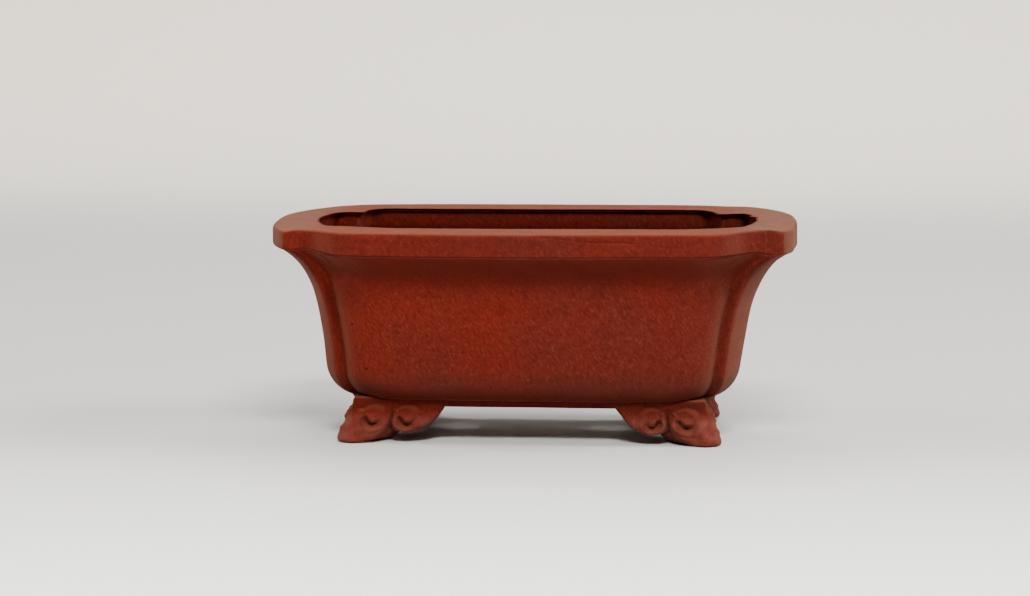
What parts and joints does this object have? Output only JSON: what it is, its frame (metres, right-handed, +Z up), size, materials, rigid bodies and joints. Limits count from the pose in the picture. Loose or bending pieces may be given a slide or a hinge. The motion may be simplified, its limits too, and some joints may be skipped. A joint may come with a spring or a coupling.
{
  "type": "bonsai pot",
  "caption": "Small rectangular unglazed red clay bonsai pot with in-cut corners, a broad everted rim and scroll feet.",
  "frame": {"origin": "middle of the footprint, on the plane that the toes stand on", "axes": "+X to the right end, along the pot's length; -Y is the front; +Z up"},
  "size_m": [0.096, 0.058, 0.0388],
  "materials": {
    "clay": "matte"
  },
  "bodies": {
    "root": {"floor_slab": "clay", "wall_front": "clay", "wall_back": "clay", "wall_left": "clay", "wall_right": "clay", "rim_front": "clay", "rim_back": "clay", "rim_left": "clay", "rim_right": "clay", "foot_front_left": "clay", "foot_front_right": "clay", "foot_back_left": "clay", "foot_back_right": "clay"}
  },
  "joints": []
}
